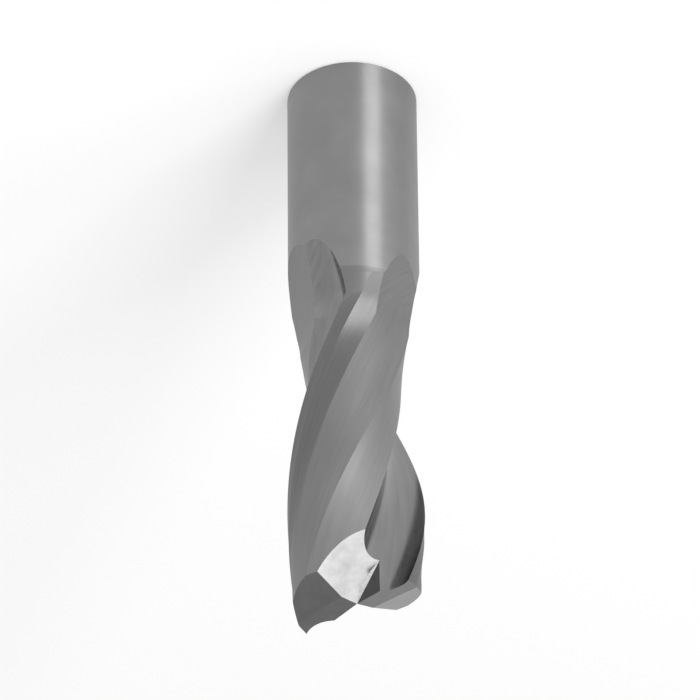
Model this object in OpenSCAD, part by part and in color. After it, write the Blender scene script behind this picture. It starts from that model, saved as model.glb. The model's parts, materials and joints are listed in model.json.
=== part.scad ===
// Two-flute spiral end mill, ground from one rod of solid carbide.
// It stands on the flat end of its shank. The cutting tip is at the top, and the axis is Z.
// Both teeth are alike, half a turn apart. Angles are seen from the tip: they grow in the
// sense in which the tool turns, so each tooth trails behind its edge on the negative side.

/* [Shank] */
// Diameter of the plain shank
shank_d = 25; // [16:0.5:32]
// Length of the shank, from its flat end to the collar
shank_len = 50.5; // [30:0.5:80]
// Width of the bevel round the shank's end
shank_bevel = 0.4; // [0.2:0.1:1.5]

/* [Cutting part] */
// Diameter over the cutting edges
cut_d = 25.6; // [20:0.1:32]
// Length from the shank to the cutting corners
cut_len = 68; // [60:0.5:110]
// Advance of the helix in one full turn
lead = 176; // [140:4:260]
// Turn of the first cutting corner about the axis
tip_turn = 42.7; // [0:0.1:90]
// Length of the round collar between the shank and the end of the helix
collar_len = 5; // [4:0.5:16]

/* [Flute] */
// Radius of the round slot in front of each cutting edge
slot_r = 6.1; // [5:0.1:7.5]
// Least thickness of the core, as a radius
core_r = 5.4; // [4:0.1:7]
// Radius of the grinding wheel, which rounds the upper end of every ground face
wheel_r = 43; // [30:1:50]
// Angle by which the slot runs out away from the cutting face
slot_lean = 20; // [0:1:30]

/* [Back of the tooth] */
// Width of the primary relief behind the edge, as an angle
primary_w = 11; // [7:0.5:16]
// Drop of the surface at the end of the primary relief
primary_drop = 0.25; // [0.1:0.05:0.5]
// Angle from the edge to the end of the secondary relief
secondary_w = 32; // [26:1:40]
// Drop of the surface at the end of the secondary relief
secondary_drop = 0.9; // [0.6:0.05:1.4]
// Slope at which both reliefs run out above the helix
runout_slope = 5.4; // [3:0.1:12]
// Slope at which the heel runs out
heel_slope = 8.5; // [6:0.5:12]
// Angle from the edge to the ridge where heel and back meet
ridge_w = 71; // [60:1:80]
// Drop of the surface at that ridge
ridge_drop = 2.3; // [1.6:0.1:3.2]
// Angle from the edge to the foot of the back, above the slot
foot_w = 120; // [116:1:124]
// Drop of the surface at that foot
foot_drop = 4.2; // [3.4:0.1:5]
// Advance of the back's own helix in one full turn
back_lead = 148; // [130:1:180]
// Distance from the tip where the back has its stated place
back_ref = 19; // [5:1:40]
// Crown of the heel and of the back across their width
crown = 0.45; // [0.1:0.05:0.8]

/* [End teeth] */
// Fall of the end edges towards the centre
dish = 3.3; // [1:0.1:6]
// Angle between the inner end edge and the line to the corner
edge_skew = 5.3; // [1:0.1:8]
// Relief angle behind the end edge
end_relief = 7; // [4:0.5:12]
// Width of that relief
end_land = 3.3; // [2:0.1:5]
// Relief angle behind it
end_clearance = 22; // [14:1:30]
// Slope of the gash's long face
gash_slope = 52.7; // [42:0.1:58]
// Direction of that slope, from the edge behind it
gash_turn = 19; // [10:1:28]
// Lean of the gash's short face under the end edge
gash_lean = 4.5; // [2:0.5:8]

/* [Hidden] */
$fn = 120;

total = shank_len + cut_len;
cut_r = cut_d / 2;
shank_r = shank_d / 2;
far = 2 * total;

// The helix ends at the collar. The wheels start to leave the work a little before that, the
// slot's wheel first. The heel and the back stop turning just before they lift.
helix_top = cut_len - collar_len;
lift_start = helix_top - 2.7;
slot_lift = lift_start - 8;
face_top = lift_start - 1;
relief_end = helix_top + 15;
fade_len = 4;
tip_over = 3;
end_allowance = 1;
end_overlap = 0.05;
ring_step = 2;

// Beyond this length past their lift all ground faces have run out, and the shank is plain.
runout_len = sqrt(2 * wheel_r * foot_drop) + 3.2;
plain_len = total - lift_start - runout_len;

// The slot is a circle that touches the core and passes through the edge.
slot_off = core_r + slot_r;
slot_a = acos((pow(cut_r, 2) + pow(slot_off, 2) - pow(slot_r, 2)) / (2 * cut_r * slot_off));
relief_ahead = 1;
slot_sweep = 205;
slot_over = 5;
slot_steps = 18;
face_steps = 4;

// Places across one tooth, from just ahead of its edge to the foot of its back. The primary
// relief starts a little ahead, so that no strip of the blank is left on the edge.
edge = polar(0, cut_r);
relief_start = polar(relief_ahead, cut_r);
primary_end = polar(-primary_w, cut_r - primary_drop);
secondary_end = polar(-secondary_w, cut_r - secondary_drop);
ridge = polar(-ridge_w, cut_r - ridge_drop);
foot = polar(-foot_w, cut_r - foot_drop);

// A point in the plane, from its angle and its distance to the axis.
function polar(a, r) = [r * cos(a), r * sin(a)];

// Places of the rings of a sweep, from just past the tip to the given distance back.
function places(last) = [-tip_over:ring_step:last];

// Turn of the work at a place. Past the helix's end it stands still.
function turn(back, pitch, helix_end) = tip_turn - 360 / pitch * min(back, helix_end);

// Rise of a round wheel that has run past the place where it leaves the work.
function round_rise(back, start) = pow(max(0, back - start), 2) / (2 * wheel_r);

// Rise of a wheel that is drawn away from the work at a steady slope.
function steady_rise(back, slope) = max(0, back - lift_start) * tan(slope);

// Unit vector that points out of the tool from a face seen from p to q.
function outward(p, q) = [p[1] - q[1], q[0] - p[0]] / norm(q - p);

// Points on a face that is crowned outwards. It passes through p and q and runs on past both.
function crowned(p, q, height) = [
    for (i = [-2:face_steps + 1])
        let (t = (i + 0.5) / face_steps)
        p + (q - p) * t + outward(p, q) * 4 * height * t * (1 - t)
];

// One ring of a sweep: a flat profile, pushed by a vector, turned and set at its place.
function ring(profile, push, angle, back) = [
    for (p = profile)
        let (q = p + push)
        [q[0] * cos(angle) - q[1] * sin(angle), q[0] * sin(angle) + q[1] * cos(angle), total - back]
];

// Solid through rings that go back from the tip. Each runs against the clock, seen from the
// tip, and starts at a point from which all the others can be seen.
module through(rings) {
    n = len(rings[0]);
    last = len(rings) - 1;
    sides = [
        for (k = [0:last - 1], i = [0:n - 1])
            let (a = k * n + i, b = k * n + (i + 1) % n)
            each [[a, b, b + n], [a, b + n, a + n]]
    ];
    tip_cap = [for (i = [1:n - 2]) [0, i + 1, i]];
    top_cap = [for (i = [1:n - 2]) [0, i, i + 1] + last * n * [1, 1, 1]];
    polyhedron([for (r = rings) each r], concat(sides, tip_cap, top_cap));
}

// Round slot in front of the edge: cutting face, floor and wall in one arc.
module slot() {
    centre = polar(slot_a, slot_off);
    last_a = atan2(edge[1] - centre[1], edge[0] - centre[0]) + slot_over;
    first_a = last_a - slot_sweep;
    arc = [for (i = [0:slot_steps]) centre + polar(first_a + slot_sweep * i / slot_steps, slot_r)];
    face = arc[slot_steps] + polar(last_a + 90, cut_r / 2);
    wall = arc[0] + polar(first_a - 90, cut_r);
    mouth = polar(slot_a, 2.2 * cut_r);
    profile = concat([mouth, wall], arc, [face]);
    through([
        for (b = places(lift_start + runout_len + 3))
            ring(
                profile, polar(slot_a + slot_lean, round_rise(b, slot_lift)),
                turn(b, lead, helix_top), b
            )
    ]);
}

// Broad cut on a tooth's trailing side, from p back to q. Its crown fades where it runs out. It
// runs out at the given slope, or in the wheel's own round if there is none.
module face_cut(p, q, pitch, slope = 0) {
    out = outward(p, q);
    above_face = (p + q) / 2 + out * 1.3 * cut_r;
    first_turn = 360 * back_ref * (1 / pitch - 1 / lead);
    through([
        for (b = places(lift_start + runout_len + 1))
            let (
                rise = slope ? steady_rise(b, slope) : round_rise(b, lift_start),
                fade = max(0, min(1, (lift_start + fade_len - b) / (2 * fade_len))),
                face = crowned(p, q, crown * fade),
                n = len(face)
            )
            ring(
                concat([above_face, face[0] + out * cut_r], face, [face[n - 1] + out * cut_r]),
                out * rise, first_turn + turn(b, pitch, face_top), b
            )
    ]);
}

// Primary and secondary relief behind the edge, which run out above the helix.
module relief_cut() {
    primary = (primary_end - relief_start) / 2;
    secondary = (secondary_end - primary_end) / 2;
    out = polar(-secondary_w / 2, 1);
    profile = concat(
        [out * 1.5 * cut_r],
        [for (i = [-2:2]) relief_start + i * primary],
        [for (i = [1:4]) primary_end + i * secondary]
    );
    through([
        for (b = places(relief_end))
            ring(profile, out * steady_rise(b, runout_slope), turn(b, lead, helix_top), b)
    ]);
}

// Everything on the upper side of a plane through a point, whose normal is given.
module above(point, normal) {
    n = normal / norm(normal);
    translate(point)
        rotate([0, acos(n[2]), atan2(n[1], n[0])])
            translate([-far, -far, 0])
                cube(2 * far);
}

// Faces ground on the end of one tooth, and the gash in front of its end edge.
module end_cuts() {
    centre = [0, 0, total - cut_r * tan(dish)];
    rotate(tip_turn) {
        intersection() {
            union() {
                above(centre, [-tan(dish), -tan(end_relief), 1]);
                above(
                    centre - [0, end_land, end_land * tan(end_relief)],
                    [-tan(dish), -tan(end_clearance), 1]
                );
            }
            translate([-end_overlap, -far, 0])
                cube([far, 2 * far, 2 * far]);
        }
        intersection() {
            above(centre, [tan(gash_slope) * cos(gash_turn), tan(gash_slope) * sin(gash_turn), 1]);
            above(centre, [-sin(edge_skew), cos(edge_skew), -tan(gash_lean)]);
        }
    }
}

// The fully round part of the shank, which holders grip, with the bevel round its end.
module plain_shank() {
    rotate_extrude()
        polygon([
            [0, 0], [shank_r - shank_bevel, 0], [shank_r, shank_bevel],
            [shank_r, plain_len], [0, plain_len]
        ]);
}

// Upper shank, collar and cutting diameter, before anything is ground into them.
module blank() {
    step = cut_r - shank_r;
    top = total + end_allowance;
    rotate_extrude()
        polygon([
            [0, plain_len], [shank_r, plain_len], [shank_r, shank_len], [cut_r, shank_len + step],
            [cut_r, top], [0, top]
        ]);
}

// All that is ground into the blank, once for each tooth.
module ground_faces() {
    for (half = [0, 180])
        rotate(half) {
            slot();
            face_cut(ridge, foot, back_lead);
            face_cut(secondary_end, ridge, lead, heel_slope);
            relief_cut();
            end_cuts();
        }
}

// One piece of carbide. The plain shank is a true cylinder. A resize to zero keeps every size:
// it makes one faceted solid of the ground part, so that its thin slivers meet cleanly.
module end_mill() {
    color("darkgray") {
        plain_shank();
        resize([0, 0, 0])
            difference() {
                blank();
                ground_faces();
            }
    }
}

end_mill();
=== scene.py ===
# %% [markdown]
# A spiral end mill is ground from one round rod of solid carbide. A grinding wheel follows a
# helix and cuts one face after another: the slot in front of each edge, the reliefs behind it,
# the heel and the back. The rod could be sculpted by hand, but every one of these faces follows
# a rule, so this lesson grinds the rod in the same order as the shop does.

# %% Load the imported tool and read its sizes
import json
import math

import bmesh
import bpy
from mathutils import Matrix, Vector


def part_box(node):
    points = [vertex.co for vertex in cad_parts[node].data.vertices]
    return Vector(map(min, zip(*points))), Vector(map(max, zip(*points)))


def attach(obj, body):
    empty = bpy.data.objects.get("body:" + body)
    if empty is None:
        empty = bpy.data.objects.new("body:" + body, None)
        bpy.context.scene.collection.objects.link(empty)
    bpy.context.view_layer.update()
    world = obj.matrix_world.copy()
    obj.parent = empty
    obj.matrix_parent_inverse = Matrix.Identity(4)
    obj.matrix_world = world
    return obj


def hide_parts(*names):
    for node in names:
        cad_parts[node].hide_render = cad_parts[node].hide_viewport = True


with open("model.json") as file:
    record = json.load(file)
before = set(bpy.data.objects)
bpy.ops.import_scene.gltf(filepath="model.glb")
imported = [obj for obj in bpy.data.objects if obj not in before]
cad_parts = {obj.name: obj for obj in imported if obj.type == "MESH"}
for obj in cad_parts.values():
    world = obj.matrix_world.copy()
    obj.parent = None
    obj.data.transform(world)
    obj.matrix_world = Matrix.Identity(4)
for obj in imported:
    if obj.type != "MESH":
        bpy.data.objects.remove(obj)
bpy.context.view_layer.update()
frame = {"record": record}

MM = 0.001
low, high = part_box("end_mill")
TOTAL = high.z
SHANK_R = frame["record"]["mounts"][0]["dims"]["r_mm"] * MM
print("tool is", round(TOTAL / MM, 2), "mm long, shank radius", SHANK_R / MM, "mm")

# %% [markdown]
# All sizes are written once, in the same words and values as in the tool's own drawing. A place
# on a tooth is an angle behind its cutting edge and a drop below the cutting radius. A place
# along the tool is its distance back from the tip.

# %% Sizes of the cutting part
CUT_R = 12.8 * MM
CUT_LEN = 68 * MM
COLLAR_LEN = 5 * MM
LEAD = 176 * MM
TIP_TURN = math.radians(42.7)
SHANK_BEVEL = 0.4 * MM
HELIX_TOP = CUT_LEN - COLLAR_LEN
LIFT_START = HELIX_TOP - 2.7 * MM
SLOT_LIFT = LIFT_START - 8 * MM
FACE_TOP = LIFT_START - 1 * MM

SLOT_R = 6.1 * MM
CORE_R = 5.4 * MM
WHEEL_R = 43 * MM
SLOT_LEAN = 20
PRIMARY = (11, 0.25 * MM)
SECONDARY = (32, 0.9 * MM)
RIDGE = (71, 2.3 * MM)
FOOT = (120, 4.2 * MM)
BACK_LEAD = 148 * MM
BACK_REF = 19 * MM
CROWN = 0.45 * MM
RUNOUT_SLOPE = math.tan(math.radians(5.4))
HEEL_SLOPE = math.tan(math.radians(8.5))

DISH = math.tan(math.radians(3.3))
EDGE_SKEW = math.radians(5.3)
END_RELIEF = math.tan(math.radians(7))
END_LAND = 3.3 * MM
END_CLEARANCE = math.tan(math.radians(22))
GASH_SLOPE = math.tan(math.radians(52.7))
GASH_TURN = math.radians(19)
GASH_LEAN = math.tan(math.radians(4.5))


def polar(angle, radius):
    """The flat point at an angle from a tooth's edge, in degrees, and a radius."""
    a = math.radians(angle)
    return Vector((math.cos(a), math.sin(a))) * radius


def behind_edge(place):
    """The point of a tooth's section at an angle behind the edge and a drop below it."""
    angle, drop = place
    return polar(-angle, CUT_R - drop)


print("the helix ends", round(HELIX_TOP / MM, 1), "mm from the tip")

# %% [markdown]
# Node trees are easier to read when each node is one line. These two helpers add a node, set
# its options and wire its inputs. An input takes either a value or another node's output.

# %% Helpers for node trees


def wire(tree, value, socket):
    """Sets a socket to a value, or links another node's output to it."""
    if isinstance(value, bpy.types.NodeSocket):
        tree.links.new(value, socket)
    else:
        socket.default_value = value


def add(tree, kind, inputs=(), **options):
    """A new node with its options set and its inputs wired."""
    made = tree.nodes.new(kind)
    for name, value in options.items():
        setattr(made, name, value)
    for key, value in dict(inputs).items():
        wire(tree, value, made.inputs[key])
    return made


def maths(tree, operation, *values):
    """The output of a Math node. The same node serves geometry and shader trees."""
    made = add(tree, "ShaderNodeMath", operation=operation)
    for place, value in enumerate(values):
        wire(tree, value, made.inputs[place])
    return made.outputs[0]


print("helpers ready")

# %% [markdown]
# One tree does every long grinding pass. It lays a straight line back from the tip, sweeps the
# pass's profile along it, then turns each ring by its place on the helix and lifts it where the
# wheel leaves the work. A curve along a real helix would twist its profile by itself, so moving
# the points of a straight sweep gives better control. The second tooth is an instance of the
# first, half a turn on.

# %% Geometry Nodes tree for a grinding pass
PASS_INPUTS = (
    ("Push", "NodeSocketVector"),
    ("Tip turn", "NodeSocketFloat"),
    ("Lead", "NodeSocketFloat"),
    ("Helix end", "NodeSocketFloat"),
    ("Lift start", "NodeSocketFloat"),
    ("Lift curve", "NodeSocketFloat"),
    ("Lift slope", "NodeSocketFloat"),
    ("Crown", "NodeSocketFloat"),
    ("Start", "NodeSocketFloat"),
    ("Last ring", "NodeSocketFloat"),
    ("Rings", "NodeSocketInt"),
    ("Length", "NodeSocketFloat"),
    ("Finish", "NodeSocketMaterial"),
)
FADE = 4 * MM


def grinding_tree():
    """The tree that sweeps a flat profile back from the tip as a ground pass."""
    tree = bpy.data.node_groups.new("Grinding pass", "GeometryNodeTree")
    tree.interface.new_socket("Profile", in_out="INPUT", socket_type="NodeSocketGeometry")
    for name, kind in PASS_INPUTS:
        tree.interface.new_socket(name, in_out="INPUT", socket_type=kind)
    tree.interface.new_socket("Cut", in_out="OUTPUT", socket_type="NodeSocketGeometry")
    given = tree.nodes.new("NodeGroupInput").outputs

    start = add(tree, "ShaderNodeCombineXYZ", {"Z": given["Start"]}).outputs[0]
    end = add(tree, "ShaderNodeCombineXYZ", {"Z": given["Last ring"]}).outputs[0]
    line = add(tree, "GeometryNodeCurvePrimitiveLine", {"Start": start, "End": end})
    evenly = {"Curve": line.outputs[0], "Count": given["Rings"]}
    rings = add(tree, "GeometryNodeResampleCurve", evenly)
    outline = add(tree, "GeometryNodeMeshToCurve", {"Mesh": given["Profile"]})
    sweep = {"Curve": rings.outputs[0], "Profile Curve": outline.outputs[0], "Fill Caps": True}
    prism = add(tree, "GeometryNodeCurveToMesh", sweep)

    # A sweep may turn the profile's own axes, so each point carries its flat place along.
    flat = add(tree, "GeometryNodeInputNamedAttribute", {"Name": "flat"}, data_type="FLOAT_VECTOR")
    bulge = add(tree, "GeometryNodeInputNamedAttribute", {"Name": "bulge"}, data_type="FLOAT")
    place = add(tree, "GeometryNodeInputPosition").outputs[0]
    back = add(tree, "ShaderNodeSeparateXYZ", {"Vector": place}).outputs["Z"]

    beyond = maths(tree, "SUBTRACT", back, given["Lift start"])
    past = maths(tree, "MAXIMUM", beyond, 0.0)
    curved = maths(tree, "MULTIPLY", maths(tree, "MULTIPLY", past, past), given["Lift curve"])
    rise = maths(tree, "ADD", curved, maths(tree, "MULTIPLY", past, given["Lift slope"]))
    limits = {"Value": beyond, "From Min": -FADE, "From Max": FADE, "To Min": 1.0, "To Max": 0.0}
    fade = add(tree, "ShaderNodeMapRange", limits).outputs[0]
    crown = maths(tree, "MULTIPLY", maths(tree, "MULTIPLY", given["Crown"], bulge.outputs[0]), fade)
    away = {0: given["Push"], "Scale": maths(tree, "ADD", rise, crown)}
    push = add(tree, "ShaderNodeVectorMath", away, operation="SCALE").outputs[0]
    pushed = {0: flat.outputs[0], 1: push}
    moved = add(tree, "ShaderNodeVectorMath", pushed, operation="ADD").outputs[0]

    turned = maths(tree, "MULTIPLY", maths(tree, "MINIMUM", back, given["Helix end"]), -2 * math.pi)
    angle = maths(tree, "ADD", given["Tip turn"], maths(tree, "DIVIDE", turned, given["Lead"]))
    spin = {"Vector": moved, "Angle": angle}
    spun = add(tree, "ShaderNodeVectorRotate", spin, rotation_type="Z_AXIS").outputs[0]
    height = maths(tree, "SUBTRACT", given["Length"], back)
    upwards = add(tree, "ShaderNodeCombineXYZ", {"Z": height}).outputs[0]
    final = add(tree, "ShaderNodeVectorMath", {0: spun, 1: upwards}, operation="ADD")
    moved_rings = {"Geometry": prism.outputs[0], "Position": final.outputs[0]}
    shaped = add(tree, "GeometryNodeSetPosition", moved_rings)

    teeth = add(tree, "GeometryNodeMeshLine", {"Count": 2, "Offset": (0, 0, 0)}).outputs[0]
    number = add(tree, "GeometryNodeInputIndex").outputs[0]
    half_turn = add(tree, "ShaderNodeCombineXYZ", {"Z": maths(tree, "MULTIPLY", number, math.pi)})
    copies = {"Points": teeth, "Instance": shaped.outputs[0], "Rotation": half_turn.outputs[0]}
    pair = add(tree, "GeometryNodeInstanceOnPoints", copies)
    real = add(tree, "GeometryNodeRealizeInstances", {"Geometry": pair.outputs[0]})
    finish = {"Geometry": real.outputs[0], "Material": given["Finish"]}
    painted = add(tree, "GeometryNodeSetMaterial", finish)
    tree.links.new(painted.outputs[0], tree.nodes.new("NodeGroupOutput").inputs[0])
    return tree


GRINDING = grinding_tree()
print("the grinding tree has", len(GRINDING.nodes), "nodes")

# %% [markdown]
# Ground carbide is a grey metal. What makes it look ground is direction: fine lines lie where
# the wheel has passed, round the shank and along the helix in the flutes. The lines are noise
# that is squeezed across them and drawn out along them. On the helix the pattern first has its
# twist taken out, so that it follows the flute instead of cutting across it.

# %% Where a finish takes its place from
RUNOUT_LEAD = 75 * MM


def shank_place(tree):
    """The place on the tool as it stands."""
    return add(tree, "ShaderNodeTexCoord").outputs["Object"]


def helix_place(tree):
    """The place with the helix taken out, so that a line along a flute becomes straight."""
    place = shank_place(tree)
    z = add(tree, "ShaderNodeSeparateXYZ", {"Vector": place}).outputs["Z"]
    back = maths(tree, "SUBTRACT", TOTAL, z)
    beyond = maths(tree, "MAXIMUM", maths(tree, "SUBTRACT", back, HELIX_TOP), 0.0)
    along = maths(tree, "MULTIPLY_ADD", back, 2 * math.pi / LEAD, -TIP_TURN)
    angle = maths(tree, "MULTIPLY_ADD", beyond, 2 * math.pi * (1 / RUNOUT_LEAD - 1 / LEAD), along)
    turned = {"Vector": place, "Angle": angle}
    return add(tree, "ShaderNodeVectorRotate", turned, rotation_type="Z_AXIS").outputs[0]


print("the grain's lead past the helix:", round(RUNOUT_LEAD / MM), "mm")

# %% [markdown]
# Every finish is one function with different numbers: how fine the lines are, how much of the
# tone comes from lines and how much from soft clouds, how dark and how rough it is. The shank,
# the collar and the reliefs turn under their wheel, whose finest scratches run round the axis.
# Such a surface draws a highlight out along the axis and keeps its sides sharp, so there the
# shader is anisotropic.

# %% A ground finish
STREAK = 0.94
ROUND_THE_AXIS = 0.25


def noise(tree, place, stretch, detail=4.0, roughness=0.6):
    """Noise whose grains are stretched: a large number squeezes them along that axis."""
    scaled = add(tree, "ShaderNodeMapping", {"Vector": place, "Scale": stretch})
    settings = {"Vector": scaled.outputs[0], "Scale": 1.0, "Detail": detail, "Roughness": roughness}
    return add(tree, "ShaderNodeTexNoise", settings).outputs[0]


def spread(tree, value, low, high):
    """Brings the middle of a noise to the range from low to high."""
    limits = {"Value": value, "From Min": 0.3, "From Max": 0.7, "To Min": low, "To Max": high}
    return add(tree, "ShaderNodeMapRange", limits).outputs[0]


def ground_metal(name, place_of, lines, share, clouds, tones, rough, depth, turned=False):
    """A ground grey metal. Share is how much of its tone comes from lines, not from clouds.

    Turned is for surfaces whose finest scratches run round the axis.
    """
    material = bpy.data.materials.new(name)
    material.use_nodes = True
    tree = material.node_tree
    tree.nodes.clear()
    place = place_of(tree)
    fine = noise(tree, place, lines)
    broad = noise(tree, place, clouds, detail=2.0)
    mixed = maths(tree, "MULTIPLY_ADD", maths(tree, "SUBTRACT", fine, broad), share, broad)
    amount = spread(tree, mixed, 0.0, 1.0)
    dark, light = ((v, v, v * 1.01, 1.0) for v in tones)
    colour = add(tree, "ShaderNodeMix", {"Factor": amount, "A": dark, "B": light}, data_type="RGBA")
    bump = {"Strength": 1.0, "Distance": depth, "Height": fine}
    metal = {
        "Base Color": colour.outputs["Result"],
        "Metallic": 1.0,
        "Roughness": spread(tree, mixed, *rough),
        "Normal": add(tree, "ShaderNodeBump", bump).outputs[0],
    }
    if turned:
        tangent = add(tree, "ShaderNodeTangent", direction_type="RADIAL", axis="Z")
        metal.update({"Anisotropic": STREAK, "Anisotropic Rotation": ROUND_THE_AXIS})
        metal["Tangent"] = tangent.outputs[0]
    shader = add(tree, "ShaderNodeBsdfPrincipled", metal)
    add(tree, "ShaderNodeOutputMaterial", {"Surface": shader.outputs[0]})
    return material


ROUND = (40.0, 40.0, 2500.0)
ALONG = (1500.0, 1500.0, 60.0)
WAVY = (700.0, 700.0, 45.0)
SOFT = (90.0, 90.0, 50.0)
BLOTCHES = (120.0, 120.0, 90.0)
CLOUDY = (500.0, 500.0, 500.0)
FINISHES = {
    "shank": (shank_place, ROUND, 0.15, BLOTCHES, (0.26, 0.32), (0.41, 0.45), 3e-7, True),
    "collar": (shank_place, ROUND, 0.3, SOFT, (0.22, 0.26), (0.41, 0.45), 3e-7, True),
    "flute": (helix_place, WAVY, 0.5, SOFT, (0.17, 0.26), (0.16, 0.26), 4.5e-6),
    "relief": (helix_place, ALONG, 0.5, SOFT, (0.185, 0.235), (0.46, 0.50), 5e-7, True),
    "heel": (helix_place, ALONG, 0.5, SOFT, (0.17, 0.235), (0.42, 0.50), 2e-6),
    "back": (helix_place, ALONG, 0.5, SOFT, (0.205, 0.26), (0.44, 0.52), 2e-6),
    "end": (shank_place, CLOUDY, 0.5, SOFT, (0.19, 0.24), (0.14, 0.20), 1e-6),
    "gash": (shank_place, CLOUDY, 0.5, SOFT, (0.21, 0.32), (0.10, 0.16), 1e-6),
}
ground = {name: ground_metal("Ground " + name, *values) for name, values in FINISHES.items()}
print("finishes:", ", ".join(m.name for m in bpy.data.materials if m.name.startswith("Ground")))

# %% [markdown]
# A pass is a closed solid that holds everything its wheel takes away. Its profile only has to be
# right where it touches the tool: the rest reaches out past the rod. The straight parts are
# divided into short steps, because a long face on a helix would be warped.

# %% Cut a profile into a pass
scene = bpy.context.scene
RING_STEP = 0.5 * MM


def put(name, mesh):
    """A new object for a mesh, at the origin."""
    made = bpy.data.objects.new(name, mesh)
    scene.collection.objects.link(made)
    return made


def plain_mesh(source, name):
    """The object's final shape as a mesh without modifiers. The object is removed."""
    graph = bpy.context.evaluated_depsgraph_get()
    mesh = bpy.data.meshes.new_from_object(source.evaluated_get(graph))
    mesh.name = name
    old = source.data
    bpy.data.objects.remove(source)
    bpy.data.meshes.remove(old)
    return mesh


def face_outwards(mesh):
    """Turns the faces outwards where the mesh came out with its inside outside."""
    form = bmesh.new()
    form.from_mesh(mesh)
    volume = form.calc_volume(signed=True)
    if volume < 0:
        bmesh.ops.reverse_faces(form, faces=form.faces)
    form.to_mesh(mesh)
    form.free()
    return abs(volume)


def grind(name, profile, finish, **values):
    """A pass as a plain object. The profile is a list of flat points, each with its bulge."""
    mesh = bpy.data.meshes.new(name)
    count = len(profile)
    points = [Vector((p.x, p.y, 0)) for p, bulge in profile]
    mesh.from_pydata(points, [(i, (i + 1) % count) for i in range(count)], [])
    flat = mesh.attributes.new("flat", "FLOAT_VECTOR", "POINT")
    flat.data.foreach_set("vector", [v for p in points for v in p])
    bulges = mesh.attributes.new("bulge", "FLOAT", "POINT")
    bulges.data.foreach_set("value", [bulge for p, bulge in profile])

    settings = {
        "Tip turn": TIP_TURN,
        "Lead": LEAD,
        "Helix end": HELIX_TOP,
        "Lift start": LIFT_START,
        "Lift curve": 0.0,
        "Lift slope": 0.0,
        "Crown": 0.0,
        "Start": -3 * MM,
        "Last ring": 83 * MM,
        "Length": TOTAL,
        "Finish": finish,
    }
    settings.update({key.replace("_", " ").capitalize(): value for key, value in values.items()})
    settings["Rings"] = round((settings["Last ring"] - settings["Start"]) / RING_STEP) + 1
    work = put(name, mesh)
    modifier = work.modifiers.new("Pass", "NODES")
    modifier.node_group = GRINDING
    for item in GRINDING.interface.items_tree:
        if item.name in settings:
            modifier[item.identifier] = settings[item.name]
    mesh = plain_mesh(work, name)
    volume = face_outwards(mesh)
    print(name, "pass:", len(mesh.polygons), "faces,", round(volume / MM**3), "mm3")
    return put(name, mesh)


def steps(p, q, longest=1 * MM):
    """Points from p on to q, without q."""
    count = max(1, math.ceil((q - p).length / longest))
    return [p + (q - p) * i / count for i in range(count)]


# %% [markdown]
# The slot is one round arc. It touches the core, and it passes through the cutting edge, so the
# same arc makes the cutting face, the floor and the wall. Its wheel is round, so the slot comes
# out of the shank along a curve. Each profile's reach is a multiple of the cutting radius.

# %% The slot in front of each edge
SLOT_SWEEP = 205
SLOT_OVER = 5
SLOT_STEPS = 82
SLOT_REACH = 2.2
slot_off = CORE_R + SLOT_R
slot_a = math.degrees(math.acos((CUT_R**2 + slot_off**2 - SLOT_R**2) / (2 * CUT_R * slot_off)))
slot_centre = polar(slot_a, slot_off)
to_edge = polar(0, CUT_R) - slot_centre
last_a = math.degrees(math.atan2(to_edge.y, to_edge.x)) + SLOT_OVER
first_a = last_a - SLOT_SWEEP
arc_angles = [first_a + SLOT_SWEEP * i / SLOT_STEPS for i in range(SLOT_STEPS + 1)]
arc = [slot_centre + polar(a, SLOT_R) for a in arc_angles]
face_end = arc[-1] + polar(last_a + 90, CUT_R / 2)
wall_end = arc[0] + polar(first_a - 90, CUT_R)
slot_line = [polar(slot_a, SLOT_REACH * CUT_R)] + steps(wall_end, arc[0]) + arc
slot_line += steps(arc[-1], face_end)[1:] + [face_end]
slot = grind(
    "Slot",
    [(p, 0.0) for p in slot_line],
    ground["flute"],
    push=(*polar(slot_a + SLOT_LEAN, 1), 0),
    lift_start=SLOT_LIFT,
    lift_curve=1 / (2 * WHEEL_R),
    last_ring=85 * MM,
)

# %% [markdown]
# Behind the edge come two narrow reliefs, which keep the tooth from rubbing. Both are flat
# across, with a crisp line between them, and they run out in a gentle ramp on the collar.

# %% The two reliefs behind each edge
RELIEF_REACH = 1.5
RELIEF_STEP = 0.6 * MM
relief_start = polar(1, CUT_R)
primary_end = behind_edge(PRIMARY)
secondary_end = behind_edge(SECONDARY)
before = relief_start * 2 - primary_end
after = secondary_end * 2 - primary_end
relief_out = polar(-SECONDARY[0] / 2, 1)
relief_line = [relief_out * RELIEF_REACH * CUT_R] + steps(before, primary_end, RELIEF_STEP)
relief_line += steps(primary_end, after, RELIEF_STEP) + [after]
relief = grind(
    "Relief",
    [(p, 0.0) for p in relief_line],
    ground["relief"],
    push=(*relief_out, 0),
    lift_slope=RUNOUT_SLOPE,
    last_ring=78 * MM,
)

# %% [markdown]
# The heel and the back take away the rest of the tooth's trailing side. Both are slightly
# crowned, so the light moves across them slowly. The crown is stored as a number on each point
# of the profile, and the tree lets it fade where the pass runs out flat.

# %% The heel and the back of each tooth
FACE_STEPS = 16
FACE_OVER = 6
FACE_REACH = 1.3


def crowned_line(p, q):
    """A face from p back to q that runs on past both, with its bulge, and its way out."""
    out = Vector((p.y - q.y, q.x - p.x)) / (q - p).length
    face = []
    for i in range(-FACE_OVER, FACE_STEPS + FACE_OVER + 1):
        t = i / FACE_STEPS
        face.append((p + (q - p) * t, 4 * t * (1 - t)))
    first, last = face[0], face[-1]
    top = (p + q) / 2 + out * FACE_REACH * CUT_R
    sides = [(top, 0.0), (first[0] + out * CUT_R, first[1])]
    return sides + face + [(last[0] + out * CUT_R, last[1])], out


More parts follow.
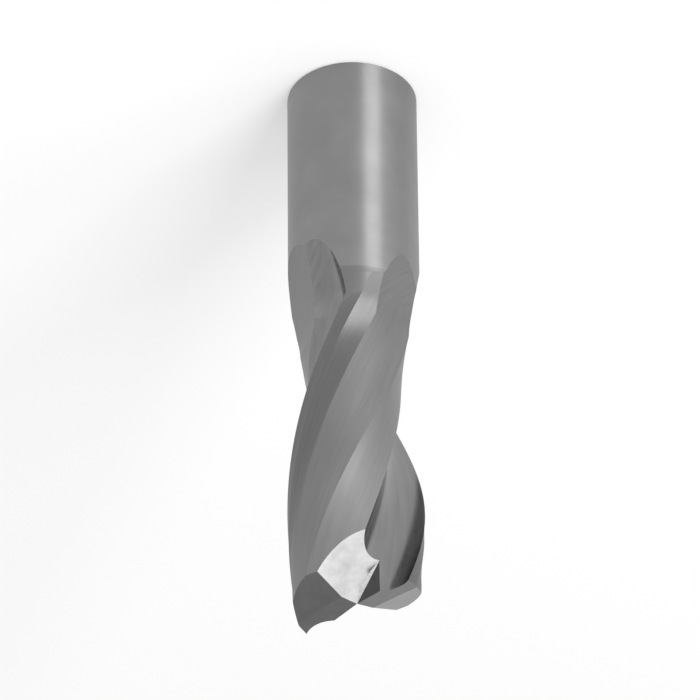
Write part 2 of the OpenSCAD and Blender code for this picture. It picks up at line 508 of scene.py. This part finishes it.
ridge = behind_edge(RIDGE)
foot = behind_edge(FOOT)
heel_line, heel_out = crowned_line(secondary_end, ridge)
heel = grind(
    "Heel",
    heel_line,
    ground["heel"],
    push=(*heel_out, 0),
    crown=CROWN,
    helix_end=FACE_TOP,
    lift_slope=HEEL_SLOPE,
)
back_line, back_out = crowned_line(ridge, foot)
back = grind(
    "Back",
    back_line,
    ground["back"],
    push=(*back_out, 0),
    crown=CROWN,
    lead=BACK_LEAD,
    tip_turn=TIP_TURN + 2 * math.pi * BACK_REF * (1 / BACK_LEAD - 1 / LEAD),
    helix_end=FACE_TOP,
    lift_curve=1 / (2 * WHEEL_R),
)

# %% [markdown]
# The end teeth are flat faces, so each is a block cut out of a large cube by planes. Two planes
# on the end give its relief and its clearance. The gash, which opens the middle of the end so
# that chips can leave, is the corner between two more.

# %% The end teeth and the gash
CUBE = 60 * MM
SIDE_OVERLAP = 0.05 * MM
centre = Vector((0, 0, TOTAL - CUT_R * DISH))
behind = Vector((0, -END_LAND, -END_LAND * END_RELIEF))
side = (Vector((-SIDE_OVERLAP, 0, 0)), Vector((1, 0, 0)))
gash_along = Vector((math.cos(GASH_TURN), math.sin(GASH_TURN), 0)) * GASH_SLOPE
END_PLANES = {
    "End relief": ((centre, Vector((-DISH, -END_RELIEF, 1))), side),
    "End clearance": ((centre + behind, Vector((-DISH, -END_CLEARANCE, 1))), side),
    "Gash": (
        (centre, gash_along + Vector((0, 0, 1))),
        (centre, Vector((-math.sin(EDGE_SKEW), math.cos(EDGE_SKEW), -GASH_LEAN))),
    ),
}


def end_block(name, planes, turn, finish):
    """A block of a large cube round the tip, on the upper side of every plane."""
    form = bmesh.new()
    bmesh.ops.create_cube(form, size=CUBE, matrix=Matrix.Translation((0, 0, TOTAL)))
    for point, normal in planes:
        everything = form.verts[:] + form.edges[:] + form.faces[:]
        bmesh.ops.bisect_plane(
            form, geom=everything, plane_co=point, plane_no=normal, clear_inner=True
        )
        rim = [e for e in form.edges if len(e.link_faces) == 1]
        bmesh.ops.contextual_create(form, geom=rim)
    bmesh.ops.recalc_face_normals(form, faces=form.faces)
    bmesh.ops.transform(form, matrix=Matrix.Rotation(turn, 4, "Z"), verts=form.verts)
    mesh = bpy.data.meshes.new(name)
    form.to_mesh(mesh)
    form.free()
    mesh.materials.append(finish)
    return put(name, mesh)


blocks = []
for name, planes in END_PLANES.items():
    for half in (0, math.pi):
        finish = ground["gash" if name == "Gash" else "end"]
        blocks.append(end_block(name, planes, TIP_TURN + half, finish))
print("end blocks:", len(blocks), "with", sum(len(b.data.polygons) for b in blocks), "faces")

# %% [markdown]
# The rod is turned before it is ground: a plain shank with a bevelled end, and a collar of the
# cutting diameter, with a shallow fillet up to its rim. It is built ring by ring round the axis,
# which gives even, square faces.

# %% The rod
ROUND_STEPS = 288


def turned_rod(name, outline):
    """A closed solid of rings round the axis. The outline is radius, height and finish."""
    form = bmesh.new()
    rings = []
    for radius, height, finish in outline:
        circle = []
        for i in range(ROUND_STEPS):
            a = 2 * math.pi * i / ROUND_STEPS
            circle.append(form.verts.new((radius * math.cos(a), radius * math.sin(a), height)))
        rings.append(circle)
    for lower, upper, (radius, height, finish) in zip(rings, rings[1:], outline):
        for i in range(ROUND_STEPS):
            j = (i + 1) % ROUND_STEPS
            form.faces.new((lower[i], lower[j], upper[j], upper[i])).material_index = finish
    form.faces.new(reversed(rings[0]))
    form.faces.new(rings[-1])
    mesh = bpy.data.meshes.new(name)
    form.to_mesh(mesh)
    form.free()
    return mesh


shank_len = TOTAL - CUT_LEN
step = CUT_R - SHANK_R
rod_outline = [
    (SHANK_R - SHANK_BEVEL, 0.0, 0),
    (SHANK_R, SHANK_BEVEL, 0),
    (SHANK_R, shank_len - 1.2 * MM, 1),
    (SHANK_R + 0.05 * MM, shank_len - 0.7 * MM, 1),
    (SHANK_R + 0.15 * MM, shank_len - 0.2 * MM, 1),
    (CUT_R, shank_len + step, 1),
    (CUT_R, TOTAL + 1 * MM, 1),
]
rod_mesh = turned_rod("end_mill_body", rod_outline)
rod_mesh.materials.append(ground["shank"])
rod_mesh.materials.append(ground["collar"])
rod = put("end_mill_body", rod_mesh)
print("rod:", len(rod_mesh.polygons), "faces")

# %% [markdown]
# Now the passes are taken out of the rod. A Boolean modifier for each pass does that, and it
# carries the pass's own finish onto the faces that it leaves. All are evaluated in one go. The
# faces are shaded smooth, except across the lines where two passes meet.

# %% Grind the rod
SHARP = math.radians(10)
passes = [slot, relief, heel, back] + blocks
for work in passes:
    cut = rod.modifiers.new(work.name, "BOOLEAN")
    cut.operation = "DIFFERENCE"
    cut.solver = "MANIFOLD"
    cut.object = work
    cut.material_mode = "TRANSFER"
ground_mesh = plain_mesh(rod, "end_mill_body")
for work in passes:
    old = work.data
    bpy.data.objects.remove(work)
    bpy.data.meshes.remove(old)
volume = face_outwards(ground_mesh)
ground_mesh.shade_smooth()
ground_mesh.set_sharp_from_angle(angle=SHARP)
body = put("end_mill_body", ground_mesh)
print("tool:", len(ground_mesh.polygons), "faces,", round(volume / MM**3), "mm3")
print("finishes:", [m.name for m in ground_mesh.materials])

# %% [markdown]
# The body stands for the plain solid of the frame and rides with it.

# %% Fit the body to the frame
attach(body, "root")
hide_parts("end_mill")

# %% [markdown]
# The floor is plain and pale. A little glow lifts it to white for the camera, and for the metal,
# which shows the floor too. The tool's shadow stays on it.

# %% Floor
FLOOR_GREY = 0.8
FLOOR_GLOW = 0.28
FLOOR_REACH = 3.0


def floor_finish():
    """Matt and pale, with a glow that only straight views and mirrored ones see."""
    material = bpy.data.materials.new("Studio floor")
    material.use_nodes = True
    tree = material.node_tree
    tree.nodes.clear()
    rays = add(tree, "ShaderNodeLightPath").outputs
    mirrored = maths(tree, "MAXIMUM", rays["Is Glossy Ray"], rays["Is Transmission Ray"])
    seen = maths(tree, "MAXIMUM", rays["Is Camera Ray"], mirrored)
    pale = (FLOOR_GREY, FLOOR_GREY, FLOOR_GREY, 1.0)
    matt = add(tree, "ShaderNodeBsdfDiffuse", {"Color": pale}).outputs[0]
    glow = add(tree, "ShaderNodeEmission", {"Strength": FLOOR_GLOW}).outputs[0]
    lifted = add(tree, "ShaderNodeAddShader", {0: matt, 1: glow}).outputs[0]
    both = add(tree, "ShaderNodeMixShader", {0: seen, 1: matt, 2: lifted})
    add(tree, "ShaderNodeOutputMaterial", {"Surface": both.outputs[0]})
    return material


floor_mesh = bpy.data.meshes.new("floor")
corners = [(x * FLOOR_REACH, y * FLOOR_REACH, 0) for x, y in ((-1, -1), (1, -1), (1, 1), (-1, 1))]
floor_mesh.from_pydata(corners, [], [(0, 1, 2, 3)])
floor_mesh.materials.append(floor_finish())
floor = put("floor", floor_mesh)
print("floor:", FLOOR_REACH * 2, "m wide")

# %% [markdown]
# The light is that of a plain studio. The world is white at the horizon and dims evenly towards
# the ceiling. Two soft lamps stand at the camera's side. The tall one makes the long highlight
# on the shank, and the other faces the gash, whose flat face throws it into the camera.

# %% World and lamps
def studio_world(horizon, ceiling):
    """Pale all round, and darker overhead."""
    world = bpy.data.worlds.new("Pale studio")
    world.use_nodes = True
    tree = world.node_tree
    direction = add(tree, "ShaderNodeTexCoord").outputs["Generated"]
    height = add(tree, "ShaderNodeSeparateXYZ", {"Vector": direction}).outputs["Z"]
    limits = {"Value": height, "To Min": horizon, "To Max": ceiling}
    strength = add(tree, "ShaderNodeMapRange", limits).outputs[0]
    wire(tree, strength, tree.nodes["Background"].inputs["Strength"])
    tree.nodes["Background"].inputs["Color"].default_value = (1, 1, 1, 1)
    return world


def softbox(name, azimuth, elevation, distance, width, height, power):
    """A lamp that faces the tip. Azimuth 0 is the camera's side."""
    data = bpy.data.lights.new(name, "AREA")
    data.shape = "RECTANGLE"
    data.size = width
    data.size_y = height
    data.energy = power
    a, e = math.radians(azimuth), math.radians(elevation)
    way = Vector((-math.sin(a) * math.cos(e), -math.cos(a) * math.cos(e), math.sin(e)))
    lamp = bpy.data.objects.new(name, data)
    scene.collection.objects.link(lamp)
    facing = way.to_track_quat("Z", "Y").to_matrix().to_4x4()
    lamp.matrix_world = Matrix.Translation(Vector((0, 0, TOTAL)) + way * distance) @ facing


scene.world = studio_world(1.0, 0.5)
softbox("Tall softbox", 32, 15.5, 1.0, 0.45, 0.56, 6.9)
softbox("Gash softbox", 58, 33, 1.2, 0.6, 0.6, 2.2)
scene.view_settings.view_transform = "Standard"

# %% [markdown]
# The camera looks down on the standing tool at 36 degrees and hangs upside down, as in the
# photograph, where the tip points to the bottom of the picture. The long lens keeps the shank's
# sides almost parallel. Its focal length is given in picture widths.

# %% Camera
CAMERA_PLACE = Vector((0.844, -1055.95, 838.2)) * MM
DOWN = math.radians(36.3945)
ROLL = math.radians(-0.5717)
SENSOR = 36
LENS_WIDTHS = 6958.1 / 700
camera_data = bpy.data.cameras.new("Camera")
camera = bpy.data.objects.new("Camera", camera_data)
scene.collection.objects.link(camera)
look = Vector((0, math.cos(DOWN), -math.sin(DOWN)))
right = Vector((-1, 0, 0))
up = Vector((0, -math.sin(DOWN), -math.cos(DOWN)))
right, up = (
    right * math.cos(ROLL) + up * math.sin(ROLL),
    up * math.cos(ROLL) - right * math.sin(ROLL),
)
camera_axes = Matrix((right, up, -look)).transposed().to_4x4()
camera.matrix_world = Matrix.Translation(CAMERA_PLACE) @ camera_axes
camera_data.sensor_width = SENSOR
camera_data.lens = LENS_WIDTHS * SENSOR
camera_data.clip_end = 20
scene.camera = camera
print("lens", round(camera_data.lens, 1), "mm")
